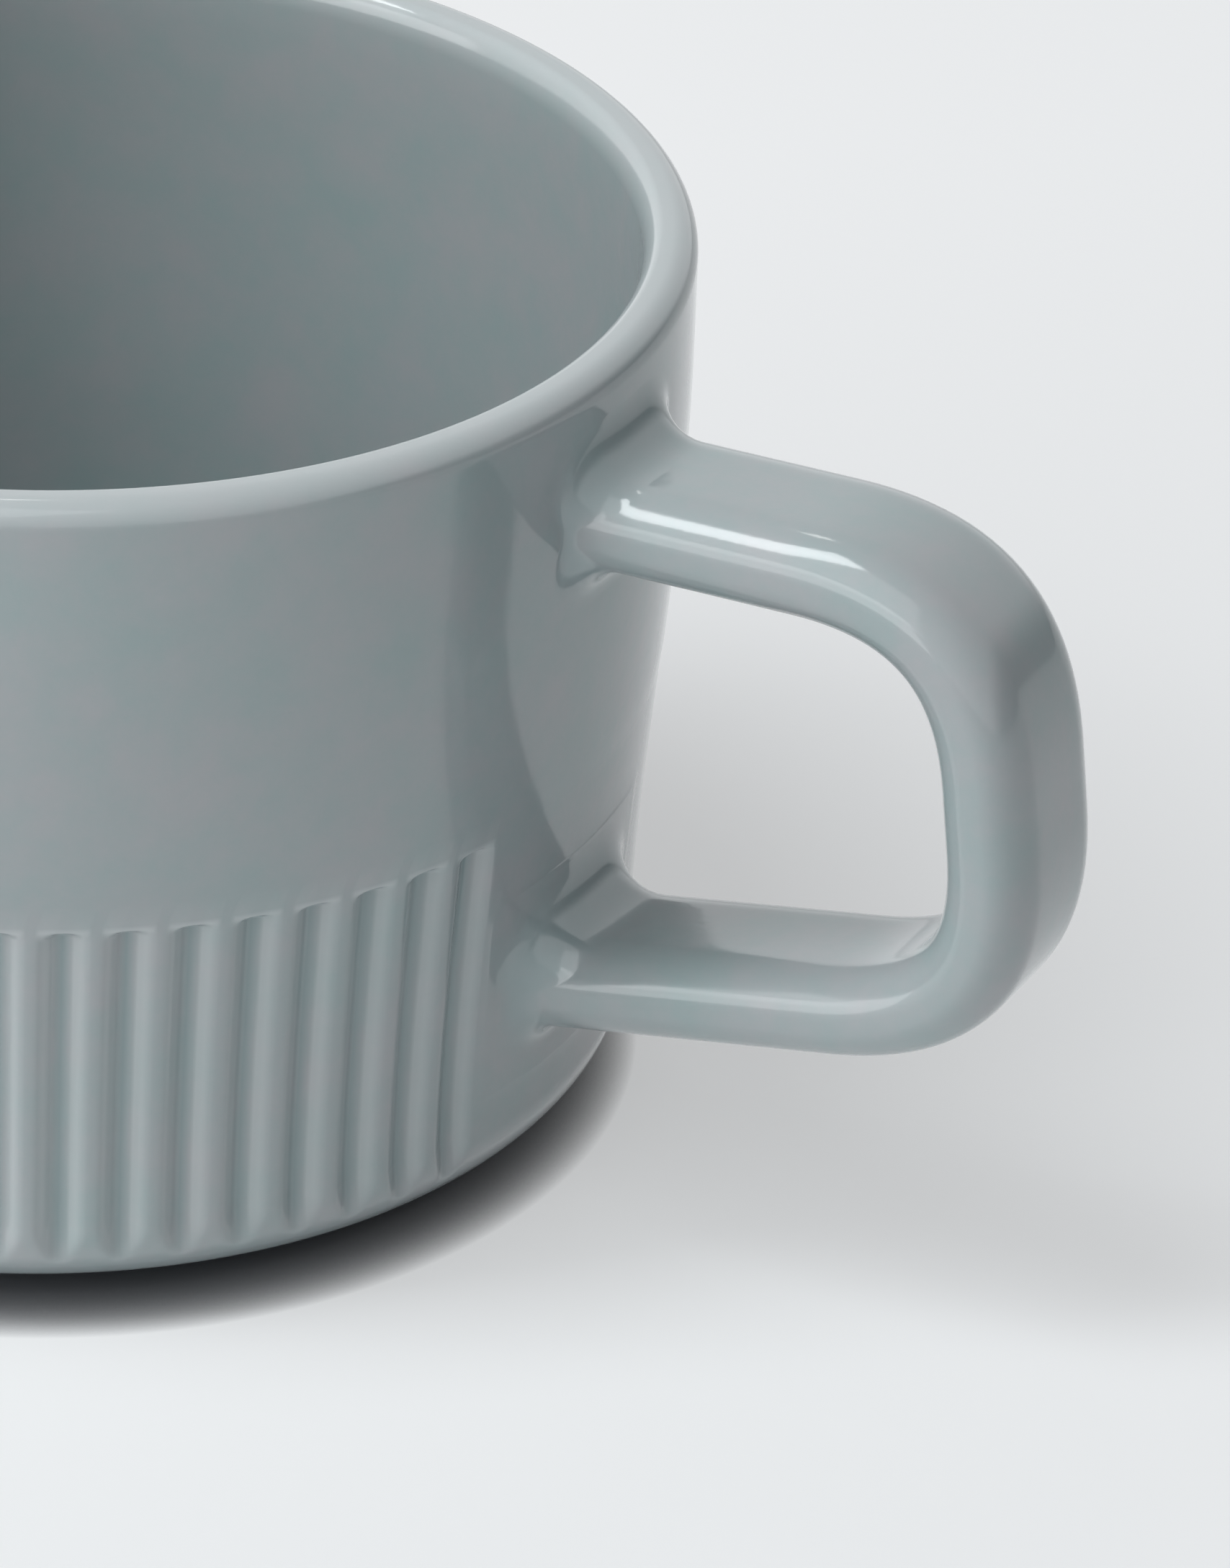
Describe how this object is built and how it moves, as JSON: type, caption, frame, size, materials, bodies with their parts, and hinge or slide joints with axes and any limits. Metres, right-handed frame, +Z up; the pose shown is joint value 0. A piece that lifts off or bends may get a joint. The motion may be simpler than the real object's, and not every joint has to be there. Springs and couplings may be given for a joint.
{
  "type": "espresso cup",
  "caption": "Low glazed stoneware espresso cup with a band of vertical flutes round its lower half and a squared loop handle luted to its side, for a short hot drink.",
  "frame": {"origin": "on the surface the cup stands on, under the middle of the box round the cup and its handle", "axes": "+Z up, +X from the bowl towards the handle; the bowl's own axis is upright at x = -0.0132, y = 0"},
  "size_m": [0.0964, 0.07, 0.0498],
  "materials": {
    "body_glaze": "glossy blue-grey glaze over stoneware, bare at the foot ring",
    "handle_glaze": "glossy blue-grey glaze over stoneware",
    "joint_glaze": "glossy blue-grey glaze over fired slip, wiped to a fillet"
  },
  "bodies": {
    "root": {"cup_body": "body_glaze", "handle": "handle_glaze", "upper_slip_joint": "joint_glaze", "lower_slip_joint": "joint_glaze"}
  },
  "joints": []
}
